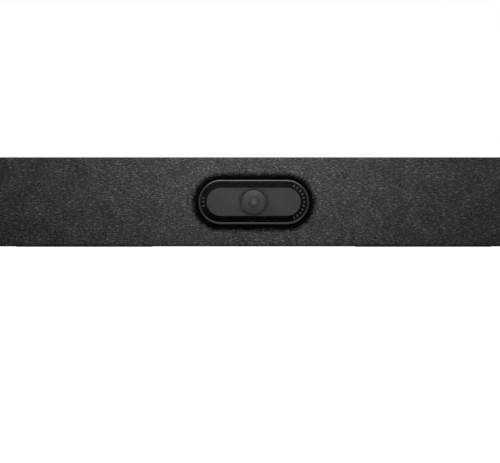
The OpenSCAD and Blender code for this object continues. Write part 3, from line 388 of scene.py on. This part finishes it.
def smoked_window():
    """Tinted panel that shows most of what lies behind it, with painted shade: darkest at the bottom and
    paler towards its top.
    """
    tree = Finish("smoked_window", see_through=True)
    haze = tree.noise(tree.place(), 350)
    upward = tree.remap(tree.axes()["Z"], AXIS_Z - PANEL_HALF, AXIS_Z + PANEL_HALF)
    # Painted light from above: the tint is paler towards the top
    return tree.set(
        Base_Color=tree.mix(upward, grey(0.001), grey(0.003)), Roughness=tree.spread(haze, 0.10, 0.14),
        IOR=1.46, Specular_IOR_Level=0.2, Alpha=0.32)


def pill_places(tree):
    """Side, height over the axis, reach past the straight part, and distance from the pill's middle line."""
    side, _, upward = tree.axes()
    height = tree.minus(upward, AXIS_Z)
    reach = tree.minus(tree.math("ABSOLUTE", side), RING_RUN / 2)
    return side, height, reach, tree.hypot(tree.larger(0.0, reach), height)


def bezel():
    """Satin black moulding with painted light: a painted reflection makes it a little paler at the bottom,
    and a painted highlight runs along its upper edge.
    """
    tree = Finish("bezel_satin")
    fine = tree.noise(tree.place(), 2600)
    _, height, _, radius = pill_places(tree)
    # Along the upper side only a hairline at the edge is painted bright, as a painted highlight, and the rest
    # is painted dark
    painted_highlight = tree.line(radius, HIGHLIGHT_LINE_R, reach=0.34 * MM, core=0.14 * MM)
    upper_highlighted = tree.mix(painted_highlight, grey(0.001), grey(0.28))
    # Painted reflection: the ring is paler towards the bottom
    body_with_lower_reflection = tree.mix(tree.remap(height, -RING_R, -0.5 * RING_R), grey(0.056), grey(0.033))
    upper = tree.remap(height, 0.6 * RING_R, 0.92 * RING_R)
    return tree.set(
        Base_Color=tree.mix(upper, body_with_lower_reflection, upper_highlighted), Roughness=tree.spread(fine, 0.38, 0.46),
        Specular_IOR_Level=0.3, Normal=tree.bump(fine, 0.06, 0.05 * MM))


def mask_black():
    """Black print behind the glass, with painted shade that leaves it paler towards the top, and a fine row
    of generic ticks at its ends.
    """
    tree = Finish("mask_print")
    side, height, reach, radius = pill_places(tree)
    # Painted light from above: the black is paler towards the top
    painted_shade_black = tree.mix(tree.remap(height, -MASK_HALF, MASK_HALF), grey(0.001), grey(0.030))
    # Ticks along the middle of the band: a long row at the right end, a few at the left
    angle = tree.math("ARCTAN2", height, reach)
    dash = tree.remap(tree.math("COSINE", tree.times(angle, 2 * math.pi / TICK_PITCH)), 0.55, 0.72)
    right = tree.math("GREATER_THAN", side, 0.0)
    row_end = tree.plus(TICKS_LEFT, tree.times(right, TICKS_RIGHT - TICKS_LEFT))
    in_row = tree.math("LESS_THAN", tree.math("ABSOLUTE", angle), row_end)
    in_band = tree.line(radius, TICKS_R, reach=1.05 * MM, core=0.8 * MM)
    tick = tree.times(tree.times(in_band, dash), in_row)
    speck = tree.noise(tree.place(), 1500)
    return tree.set(
        Base_Color=tree.mix(tick, painted_shade_black, grey(0.5)), Roughness=tree.spread(speck, 0.45, 0.55),
        Specular_IOR_Level=0.1)


def lens_places(tree):
    """Side, height over the lens's axis, and distance from that axis."""
    side, _, upward = tree.axes()
    height = tree.minus(upward, AXIS_Z)
    return side, height, tree.hypot(side, height)


def dome_glass():
    """Coated front element with painted light: a painted sheen paler towards its top, painted rings of the
    glass behind it, a painted glint and a painted reflection.
    """
    tree = Finish("lens_dome_coated", see_through=True)
    side, height, radius = lens_places(tree)
    ring_dark = grey(0.15)
    # Painted sheen: paler towards the top, as light from above
    shade = tree.mix(tree.remap(height, -DOME_HALF, DOME_HALF), grey(0.52, 0.02), grey(0.60, 0.02))
    step_ring = tree.line(radius, STEP_RING_R, reach=0.6 * MM)
    shade = tree.mix(tree.times(step_ring, 0.16), shade, ring_dark)
    disc = tree.mix(tree.remap(height, -DISC_HALF, DISC_HALF), grey(0.45, 0.01), grey(0.47, 0.01))
    shade = tree.mix(tree.remap(radius, *DISC_FADE), shade, disc)
    stop_ring = tree.line(radius, STOP_RING_R, reach=0.7 * MM)
    shade = tree.mix(tree.times(stop_ring, 0.36), shade, ring_dark)
    # Painted warm glint and glow: a small bright ring round a darker stop
    glow = tree.remap(radius, *GLOW_FADE, 0.0, 0.6)
    shade = tree.mix(glow, shade, (0.90, 0.82, 0.77, 1))
    painted_glint = tree.line(radius, GLINT_R, reach=0.75 * MM, core=0.2 * MM)
    shade = tree.mix(painted_glint, shade, (1.0, 0.90, 0.84, 1))
    # Painted amber reflection at the right, taller than wide
    painted_reflection = tree.hypot(tree.minus(side, REFLECTION_X), tree.times(height, 0.45))
    shade = tree.mix(tree.remap(painted_reflection, *REFLECTION_FADE, 0.0, 0.55), shade, (0.72, 0.60, 0.40, 1))
    return tree.set(Base_Color=shade, Roughness=0.4, IOR=1.5, Specular_IOR_Level=0.3, Alpha=0.45)


def retainer_black():
    """Threaded retainer with fine turned lines, its inner lip next to the glass painted brighter as a painted
    highlight.
    """
    tree = Finish("retainer_thread")
    radius = lens_places(tree)[2]
    lines = tree.ripples(radius, pitch=0.35 * MM)
    turned = tree.mix(tree.remap(lines, -1.0, 1.0), grey(0.18), grey(0.22))
    # Painted highlight on the inner lip next to the glass
    return tree.set(
        Base_Color=tree.mix(tree.remap(radius, *PAINTED_LIP_FADE), turned, grey(0.60)), Roughness=0.45,
        Normal=tree.bump(lines, 0.2, 0.08 * MM))


def surround_grey():
    """Satin grey tray behind the glass, with painted shade that makes it duller and darker at the rim of its
    lens hole.
    """
    tree = Finish("surround_satin")
    fine = tree.noise(tree.place(), 2400)
    broad = tree.noise(tree.place(), 60, detail=3)
    body_with_lower_reflection = tree.mix(tree.spread(broad), grey(0.225, 0.03), grey(0.265, 0.03))
    # Painted shade where the rim of the lens hole turns in
    rim_shade = tree.remap(lens_places(tree)[2], *RIM_SHADE_FADE, 0.0, 0.6)
    return tree.set(
        Base_Color=tree.mix(rim_shade, body_with_lower_reflection, grey(0.06)), Roughness=tree.spread(fine, 0.5, 0.6),
        Normal=tree.bump(fine, 0.08, 0.05 * MM))


def barrel_black():
    """Lens barrel: black, with a lighter step round its middle painted grey as a painted reflection of hazy
    light seen through the glass, and fine rings.
    """
    tree = Finish("barrel_rings")
    radius = lens_places(tree)[2]
    # Painted reflection: a grey step stands in for the hazy light seen through the glass
    outside = tree.remap(radius, *BARREL_STEP_OUT)
    painted_haze_step = tree.times(tree.remap(radius, *BARREL_STEP_IN), tree.minus(1.0, outside))
    return tree.set(
        Base_Color=tree.mix(painted_haze_step, grey(0.008), grey(0.30)), Roughness=0.5,
        Normal=tree.bump(tree.ripples(radius, pitch=0.55 * MM), 0.25, 0.1 * MM))


def knit():
    """Grey melange knit: crinkled fine grain, pale fibre streaks, and painted shade fading to black in the
    roll.
    """
    tree = Finish("knit_melange")
    cloth = tree.node("ShaderNodeAttribute", attribute_name="cloth").outputs["Vector"]
    roll_shade = tree.node("ShaderNodeAttribute", attribute_name="roll_shade").outputs["Fac"]

    def along(scale=(1, 1, 1), turn=0.0):
        return tree.mapped(cloth, scale, (0, 0, turn))

    # Yarn: crinkled grain of one to two loops, and pale fibres that run across, slightly tilted
    grain = tree.noise(along((1, 1.5, 1)), 540, detail=3, rough=0.65)
    crinkle = tree.noise(along((1, 1.25, 1), 0.5), 820, rough=0.6)
    rising = tree.noise(along((0.34, 1.35, 1), 0.24), 740, rough=0.55)
    falling = tree.noise(along((0.38, 1.45, 1), -0.36), 700, rough=0.55)
    fibres = tree.larger(tree.remap(rising, 0.58, 0.70), tree.remap(falling, 0.60, 0.72))
    yarn = tree.mix(tree.remap(grain, 0.28, 0.72), grey(0.019), grey(0.113))
    yarn = tree.mix(tree.remap(crinkle, 0.35, 0.7, 0.0, 0.5), yarn, grey(0.030))
    yarn = tree.mix(tree.times(fibres, 0.60), yarn, grey(0.28))
    # Broad patches, a little paler or darker
    level = tree.remap(tree.noise(along(), 60, detail=3, rough=0.55), 0.25, 0.75, 0.82, 1.18)
    levels = tree.node("ShaderNodeCombineColor", {"Red": level, "Green": level, "Blue": level})
    lit = tree.mix(1.0, yarn, levels.outputs["Color"], "MULTIPLY")

    # The painted shade of the roll ends in ragged tufts, and reaches further out on its lower side
    fuzz = tree.minus(tree.noise(along(), 420, detail=3, rough=0.75), 0.5)
    tufts = tree.minus(tree.noise(along(), 150), 0.5)
    ragged = tree.plus(roll_shade, tree.plus(fuzz, tree.times(tufts, 0.35)))
    height = tree.axes(cloth)["Y"]
    reach = tree.remap(height, -RING_R, RING_R, 0.08, -0.04)
    shade_fade = tree.remap(tree.plus(ragged, reach), 0.0, 0.6)
    # Colour of the deepest painted shade, a little paler towards the top
    deep_shade = tree.mix(tree.remap(height, -RING_R, RING_R), grey(0.0004), grey(0.005))

    # Relief: the columns and rows of loops, under the grain
    columns = tree.wave(along(), 110.0, "X", distortion=3.0)
    rows = tree.wave(along(), 150.0, "Y", distortion=3.0)
    loops = tree.times(columns, rows)
    relief = tree.plus(tree.times(loops, 0.5), tree.plus(grain, crinkle))
    return tree.set(
        Base_Color=tree.mix(shade_fade, lit, deep_shade), Roughness=0.95, Specular_IOR_Level=0.05,
        Normal=tree.bump(relief, 0.55, 0.4 * MM))


STEEL = (0.6, 0.6, 0.62, 1)

MATERIALS = {
    "dark_plastic": plastic("housing_plastic", grey(0.032), rough=0.52, grain=0.35, wear=0.2),
    "bezel": bezel(),
    "smoked_glass": smoked_window(),
    "mask": mask_black(),
    "surround": surround_grey(),
    "blade": plastic("blade_plastic", grey(0.02), rough=0.6, grain=0.2),
    "gear": plastic("gear_acetal", (0.75, 0.72, 0.64, 1), rough=0.4, grain=0.1),
    "motor": metal("motor_steel", STEEL, rough=0.3, stretch=(1, 0.06, 1)),
    "lens": clear_glass("lens_coated", (0.02, 0.025, 0.03, 1), alpha=0.12, rough=0.03,
                        coat_reflection=(0.2, 0.3, 0.55, 1)),
    "lens_black": barrel_black(),
    "filter": clear_glass("filter_glass", (0.3, 0.6, 0.6, 1), alpha=0.5, rough=0.04,
                          coat_reflection=(0.4, 0.2, 0.25, 1)),
    "sensor": sensor_chip(),
    "board": circuit_board(),
    "flex": film("flex_amber", (0.55, 0.3, 0.08, 1), scale=520.0),
    "steel": metal("screw_steel", STEEL, rough=0.32),
    "chassis": metal("chassis_aluminium", (0.66, 0.67, 0.69, 1), rough=0.4, stretch=(0.05, 1, 1)),
    "components": plastic("component_black", grey(0.03), rough=0.48, grain=0.2),
    "pad": rubber("pad_silicone", (0.28, 0.36, 0.48, 1), rough=0.6, pores=0.15),
    "heat_sink": metal("sink_anodised", (0.36, 0.37, 0.39, 1), rough=0.42, stretch=(1, 1, 0.05)),
    "socket_metal": metal("socket_plated", (0.58, 0.58, 0.6, 1), rough=0.26, stretch=(1, 1, 0.1)),
    "button": plastic("button_plastic", grey(0.05), rough=0.5, grain=0.15, wear=0.3),
    "antenna": film("antenna_copper", (0.6, 0.38, 0.12, 1), scale=300.0),
    "microphone": metal("microphone_can", (0.7, 0.58, 0.36, 1), rough=0.28),
    "foam": rubber("foam_black", grey(0.03), rough=0.9, pores=0.8, scale=1300),
    "speaker_metal": plastic("basket_paint", grey(0.05), rough=0.4, grain=0.2, wear=0.35),
    "magnet": rubber("magnet_ferrite", grey(0.05), rough=0.5, pores=0.2, scale=900),
    "spider": spider_cloth(),
    "cone": cone_paper(),
    "brass": metal("insert_brass", (0.72, 0.5, 0.2, 1), rough=0.3),
    "foot_rubber": rubber("foot_rubber", grey(0.02), rough=0.8, pores=0.3),
}

# Pieces that look different from the others of their slot
OWN_MATERIALS = {"lens_dome": dome_glass(), "lens_retainer": retainer_black()}

# The window's trim throws no shadow, so the soft light from above reaches the lens behind it
for trim in ("window_mask", "bezel_ring", "lens_surround", "shutter_frame"):
    frame["nodes"][trim].visible_shadow = False

for part in frame["record"]["subparts"]:
    if part["material_slot"] == "fabric":
        continue
    finish = OWN_MATERIALS.get(part["node"], MATERIALS[part["material_slot"]])
    for held in frame["nodes"][part["node"]].material_slots:
        held.material = finish


# Shape helpers

def pill_point(run, radius, turn):
    """Point of a flat pill and its outward direction; turn runs from 0 to 1 round it."""
    arc = math.pi * radius
    s = (turn % 1.0) * 2 * (run + arc)
    if s < run:
        return Vector((run / 2 - s, radius)), Vector((0, 1))
    s -= run
    if s < arc:
        a = math.pi / 2 + s / radius
        out = Vector((math.cos(a), math.sin(a)))
        return Vector((-run / 2, 0)) + out * radius, out
    s -= arc
    if s < run:
        return Vector((-run / 2 + s, -radius)), Vector((0, -1))
    s -= run
    a = -math.pi / 2 + s / radius
    out = Vector((math.cos(a), math.sin(a)))
    return Vector((run / 2, 0)) + out * radius, out


def at_depth(flat, depth):
    """Point of the front's plane, moved to a depth."""
    return (flat.x, depth, AXIS_Z + flat.y)


def quads(rows, around):
    """Faces between closed rows of points."""
    faces = []
    for row in range(rows - 1):
        for i in range(around):
            j = (i + 1) % around
            faces.append((row * around + i, row * around + j, (row + 1) * around + j, (row + 1) * around + i))
    return faces


def add_object(name, data):
    """Object of a mesh, a lamp's data or a camera's data, put in the scene."""
    made = bpy.data.objects.new(name, data)
    bpy.context.scene.collection.objects.link(made)
    return made


def face_outward(made):
    """Turns the faces so that the front ones look towards -Y."""
    work = bmesh.new()
    work.from_mesh(made.data)
    bmesh.ops.recalc_face_normals(work, faces=work.faces)
    front = min(work.faces, key=lambda f: f.calc_center_median().y)
    if front.normal.y > 0:
        bmesh.ops.reverse_faces(work, faces=work.faces)
    work.to_mesh(made.data)
    work.free()


# Window panel

def window_panel():
    """Smoked panel with a rounded front edge, a hair in front of the print behind it."""
    front, back = glass_low.y, glass_high.y - PANEL_GAP
    half_h = (glass_high.z - glass_low.z) / 2
    run = (glass_high.x - glass_low.x) - 2 * half_h
    rings = []
    for i in range(PANEL_EDGE_STEPS + 1):
        a = math.pi / 2 * i / PANEL_EDGE_STEPS
        rings.append((half_h - PANEL_EDGE * (1 - math.sin(a)), front + PANEL_EDGE * (1 - math.cos(a))))
    rings += [(half_h, back - PANEL_BEVEL), (half_h - PANEL_BEVEL, back)]
    vertices = []
    for radius, depth in rings:
        for i in range(PANEL_AROUND):
            vertices.append(at_depth(pill_point(run, radius, i / PANEL_AROUND)[0], depth))
    front_face = tuple(range(PANEL_AROUND))
    back_face = tuple(reversed(range(len(vertices) - PANEL_AROUND, len(vertices))))
    mesh = bpy.data.meshes.new("window_panel")
    mesh.from_pydata(vertices, [], quads(len(rings), PANEL_AROUND) + [front_face, back_face])
    mesh.polygons.foreach_set("use_smooth", [len(face.vertices) == 4 for face in mesh.polygons])
    mesh.update()
    made = add_object("window_panel", mesh)
    mesh.materials.append(MATERIALS["smoked_glass"])
    face_outward(made)
    return made


# Knitted cover

def wrap_section():
    """Section of the wrap: (inset from the outline, depth), from the hem to the flat front."""
    points = [(HEM, WRAP_END), (HEM / 4, WRAP_END - HEM_SINK), (0, WRAP_END - HEM / 2)]
    for i in range(1, WRAP_STEPS + 1):
        points.append((0, WRAP_END + (FRONT_Y + EDGE_R - WRAP_END) * i / WRAP_STEPS))
    for i in range(1, WRAP_STEPS + 1):
        a = math.pi / 2 * i / WRAP_STEPS
        points.append((EDGE_R * (1 - math.cos(a)), FRONT_Y + EDGE_R * (1 - math.sin(a))))
    return points


def roll_section():
    """Section of the roll round the ring: (distance out from the ring, depth, share of the roll)."""
    points = []
    for i in range(ROLL_STEPS + 1):
        a = math.pi / 2 * i / ROLL_STEPS
        points.append((LIP_GAP + ROLL_R * (1 - math.sin(a)), FRONT_Y + ROLL_R * (1 - math.cos(a)),
                       i / ROLL_STEPS))
    start, end = FRONT_Y + ROLL_R, ring_high.y - LIP_SHORT
    if end > start:
        points += [(LIP_GAP, (start + end) / 2, 1.0), (LIP_GAP, end, 1.0)]
    return points


def cover_rows():
    """Rows from the hem to the lip: points, their places on the flat cloth, and the painted shade of the
    roll.
    """
    turns = [i / COVER_AROUND for i in range(COVER_AROUND)]

    section = wrap_section()
    lengths = [0.0]       # of cloth, from the hem to each point of the section
    for (inset, depth), (next_inset, next_depth) in zip(section, section[1:]):
        lengths.append(lengths[-1] + math.hypot(next_inset - inset, next_depth - depth))
    for (inset, depth), length in zip(section, lengths):
        outline = [pill_point(RUN, END_R, turn) for turn in turns]
        points = [at_depth(p - out * inset, depth) for p, out in outline]
        yield points, [p + out * (lengths[-1] - length - EDGE_R) for p, out in outline], 0.0

    # Flat front: from the edge's inner end to the halo round the roll
    for k in range(1, FRONT_STEPS + 1):
        flats = []
        for turn in turns:
            outer = pill_point(RUN, END_R - EDGE_R, turn)[0]
            inner = pill_point(RING_RUN, RING_R + HALO, turn)[0]
            flats.append(outer.lerp(inner, k / FRONT_STEPS))
        yield [at_depth(p, FRONT_Y) for p in flats], flats, 0.0

    for distance, depth, share in roll_section():
        outline = [pill_point(RING_RUN, RING_R + distance, turn) for turn in turns]
        flats = [p - out * share * ROLL_R * ROLL_TAKE_UP for p, out in outline]
        yield [at_depth(p, depth) for p, _ in outline], flats, 1 - distance / HALO


def cover_mesh():
    """Cover as loops round the bar: hem, side, front edge, flat front, roll and lip."""
    vertices, cloth, shade = [], [], []
    for points, flats, dark in cover_rows():
        vertices += points
        for flat in flats:
            cloth += [flat.x, flat.y, 0.0]
        shade += [dark] * COVER_AROUND
    mesh = bpy.data.meshes.new("knit_cover")
    mesh.from_pydata(vertices, [], quads(len(vertices) // COVER_AROUND, COVER_AROUND))
    mesh.attributes.new("cloth", "FLOAT_VECTOR", "POINT").data.foreach_set("vector", cloth)
    mesh.attributes.new("roll_shade", "FLOAT", "POINT").data.foreach_set("value", shade)
    mesh.polygons.foreach_set("use_smooth", [True] * len(mesh.polygons))
    mesh.update()
    mesh.validate()
    made = add_object("knit_cover", mesh)
    mesh.materials.append(knit())
    return made


panel = window_panel()
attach(panel, "main_unit")
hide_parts("camera_window")

cover = cover_mesh()
face_outward(cover)
thick = cover.modifiers.new("cloth_thickness", "SOLIDIFY")
thick.thickness = CLOTH
thick.offset = -1.0
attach(cover, "main_unit")
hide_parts("fabric_cover")


# Floor, light and camera

FLOOR_SIZE = 14.0
FLOOR_DROP = 0.05 * MM    # keeps the floor clear of the feet's undersides


def floor():
    """Pale floor that the camera and the gloss see as white, with the object's shadow kept."""
    half = FLOOR_SIZE / 2
    mesh = bpy.data.meshes.new("floor")
    corners_at = [(-half, -half, 0), (half, -half, 0), (half, half, 0), (-half, half, 0)]
    mesh.from_pydata(corners_at, [], [(0, 1, 2, 3)])
    tree = Finish("floor_pale")
    tree.set(Base_Color=grey(0.7), Roughness=0.9, Specular_IOR_Level=0.0)
    # Gloss sees the floor behind the bar as white; in front of it the room is dim
    seen = tree.sees_white(behind=tree.remap(tree.axes()["Y"], 0.0, 0.3))
    glow = tree.node("ShaderNodeEmission", {"Color": grey(1.0), "Strength": tree.times(seen, 0.9)})
    total = tree.node("ShaderNodeAddShader", {0: tree.shader.outputs[0], 1: glow.outputs[0]})
    # From below the floor is clear, so that the underside can be looked at
    below = tree.node("ShaderNodeNewGeometry").outputs["Backfacing"]
    clear = tree.node("ShaderNodeBsdfTransparent")
    one_sided = tree.node("ShaderNodeMixShader", {0: below, 1: total.outputs[0], 2: clear.outputs[0]})
    tree.put(tree.nodes["Material Output"].inputs["Surface"], one_sided.outputs[0])
    mesh.materials.append(tree.material)
    made = add_object("floor", mesh)
    made.location.z = -FLOOR_DROP


def world():
    """White behind the bar, soft light from above and behind, dim in front of it."""
    made = bpy.data.worlds.new("studio")
    bpy.context.scene.world = made
    tree = Tree(made)
    direction = tree.axes(tree.node("ShaderNodeTexCoord").outputs["Generated"])
    above = tree.remap(direction["Z"], -0.2, 1.0, 0.12, 0.78, ease="LINEAR")
    back = tree.remap(direction["Y"], -0.3, 0.8, 0.2, 1.3, ease="LINEAR")
    room = tree.nodes["Background"]
    tree.put(room.inputs["Color"], grey(1.0))
    tree.put(room.inputs["Strength"], tree.times(above, back))
    white = tree.node("ShaderNodeBackground", {"Color": grey(1.0)})
    seen = tree.sees_white(behind=tree.remap(direction["Y"], 0.1, 0.5, ease="LINEAR"))
    mixed = tree.node("ShaderNodeMixShader", {0: seen, 1: room.outputs[0], 2: white.outputs[0]})
    tree.put(tree.nodes["World Output"].inputs["Surface"], mixed.outputs[0])


def lamp(name, place, target, size, power):
    """Rectangular area light that looks at a point."""
    light = bpy.data.lights.new(name, "AREA")
    light.shape = "RECTANGLE"
    light.size, light.size_y = size
    light.energy = power
    made = add_object(name, light)
    made.location = place
    made.rotation_euler = (Vector(target) - Vector(place)).to_track_quat("-Z", "Y").to_euler()
    made.visible_camera = False


def camera():
    """Long lens straight in front, so that the bar runs off both sides as in the photograph."""
    photo_w, photo_h = 500, 463      # pixels
    bar_x, bar_y = 253.75, 201.85    # the bar's middle in the photograph, pixels
    pixel = 0.880 * MM               # on the bar
    distance = 5.0
    data = bpy.data.cameras.new("camera")
    data.sensor_width = 36.0
    data.lens = data.sensor_width * distance / (photo_w * pixel)
    data.shift_x = (photo_w / 2 - bar_x) / photo_w
    data.shift_y = (bar_y - photo_h / 2) / photo_w
    data.clip_end = 100.0
    made = add_object("camera", data)
    made.location = (0, FRONT_Y - distance, AXIS_Z)
    made.rotation_euler = (math.pi / 2, 0, 0)
    bpy.context.scene.camera = made


floor()
world()
lamp("key", place=(0.0, FRONT_Y - 0.17, AXIS_Z + 0.17), target=(0.0, FRONT_Y, AXIS_Z),
     size=(0.16, 0.10), power=0.49)
lamp("back_fill", place=(-0.8, 1.6, 1.1), target=(0.0, 0.0, AXIS_Z), size=(1.2, 0.8), power=11.0)
camera()
bpy.context.scene.view_settings.view_transform = "Standard"
